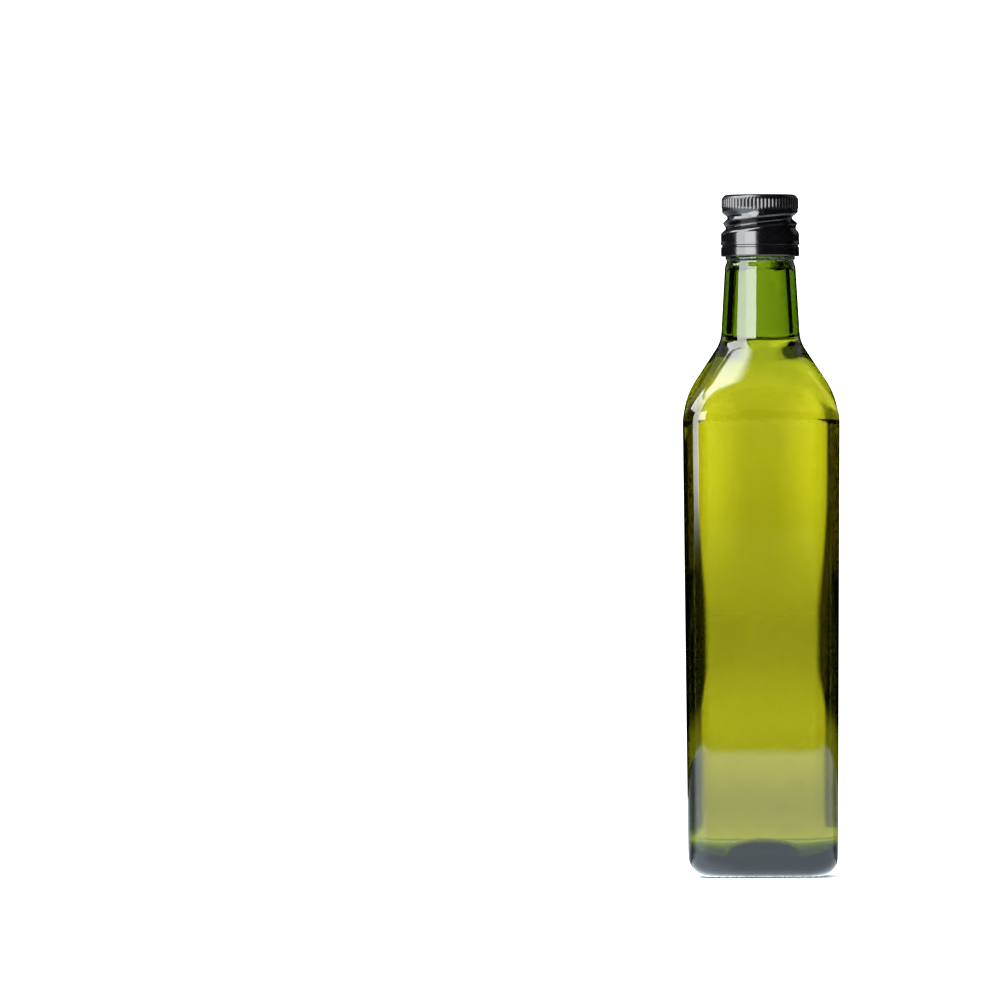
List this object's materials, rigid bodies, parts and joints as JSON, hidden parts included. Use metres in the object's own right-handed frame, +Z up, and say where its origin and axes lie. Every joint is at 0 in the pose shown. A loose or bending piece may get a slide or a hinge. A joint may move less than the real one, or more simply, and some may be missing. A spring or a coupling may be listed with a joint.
{
  "type": "glass olive oil bottle",
  "caption": "Square green glass bottle with round neck, filled with yellow olive oil to the foot of the neck and shut with a black roll-on screw cap.",
  "frame": {"origin": "middle of the flat ring that the bottle stands on, on the bottle's vertical axis", "axes": "+Z up along the bottle; the four flat faces look along -Y (front), +X, +Y and -X"},
  "size_m": [0.0618, 0.0618, 0.2708],
  "materials": {
    "green_glass": "clear polished, tinted olive green",
    "olive_oil": "clear golden green liquid",
    "black_lacquer": "gloss black lacquer on thin aluminium"
  },
  "bodies": {
    "root": {"glass_bottle": "green_glass", "olive_oil": "olive_oil", "screw_cap": "black_lacquer"}
  },
  "joints": []
}
